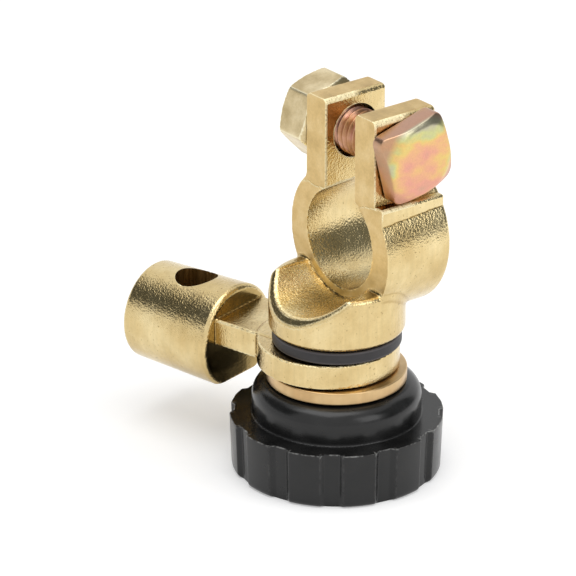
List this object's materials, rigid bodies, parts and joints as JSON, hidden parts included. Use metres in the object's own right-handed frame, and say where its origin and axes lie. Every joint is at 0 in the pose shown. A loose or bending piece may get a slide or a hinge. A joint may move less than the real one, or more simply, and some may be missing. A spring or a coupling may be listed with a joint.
{
  "type": "battery terminal disconnect switch",
  "caption": "Brass battery post clamp with a square-head clamp bolt, an insulated swivelling cable lug and a black screw knob that presses a contact disc on the lug.",
  "frame": {"origin": "middle of the knob's flat outer face, on the knob's axis", "axes": "+Z along the knob's axis towards the clamp's ears, +X along the clamp bolt towards its square head, +Y along the post hole away from the scoop"},
  "size_m": [0.0578, 0.0356, 0.0638],
  "materials": {
    "cast_brass": "bright-dipped casting, machined on the ring's front face",
    "turned_brass": "fine turned",
    "plated_nut": "pale yellow zinc plate",
    "yellow_zinc": "iridescent yellow zinc chromate",
    "black_plastic": "moulded, satin gloss",
    "black_insulator": "moulded, matt"
  },
  "bodies": {
    "clamp": {"clamp_body": "cast_brass", "knob_stud": "turned_brass", "insulating_bush": "black_insulator"},
    "bolt": {"clamp_bolt": "yellow_zinc"},
    "nut": {"clamp_nut": "plated_nut"},
    "lug": {"cable_lug": "cast_brass"},
    "disc": {"contact_disc": "turned_brass"},
    "knob": {"knob": "black_plastic", "knob_insert": "turned_brass"}
  },
  "joints": [
    {"name": "knob_travel", "type": "slide", "parent": "clamp", "child": "disc", "axis": [0, 0, 1], "range_m": [-0.005, 0]},
    {"name": "knob_turn", "type": "hinge", "parent": "disc", "child": "knob", "pos_m": [0, 0, 0], "axis": [0, 0, 1], "range_deg": [-1440, 0]},
    {"name": "lug_swivel", "type": "hinge", "parent": "clamp", "child": "lug", "pos_m": [0, 0, 0.02028], "axis": [0, 0, 1], "continuous": true},
    {"name": "nut_turn", "type": "hinge", "parent": "clamp", "child": "nut", "pos_m": [0, 0.00686, 0.05663], "axis": [-1, 0, 0], "range_deg": [0, 1440]},
    {"name": "bolt_travel", "type": "slide", "parent": "clamp", "child": "bolt", "axis": [1, 0, 0], "range_m": [0, 0.005]}
  ],
  "couplings": [
    {"joint": "knob_travel", "follows": "knob_turn", "m_per_rad": 0.00019894},
    {"joint": "bolt_travel", "follows": "nut_turn", "m_per_rad": 0.00019894}
  ]
}
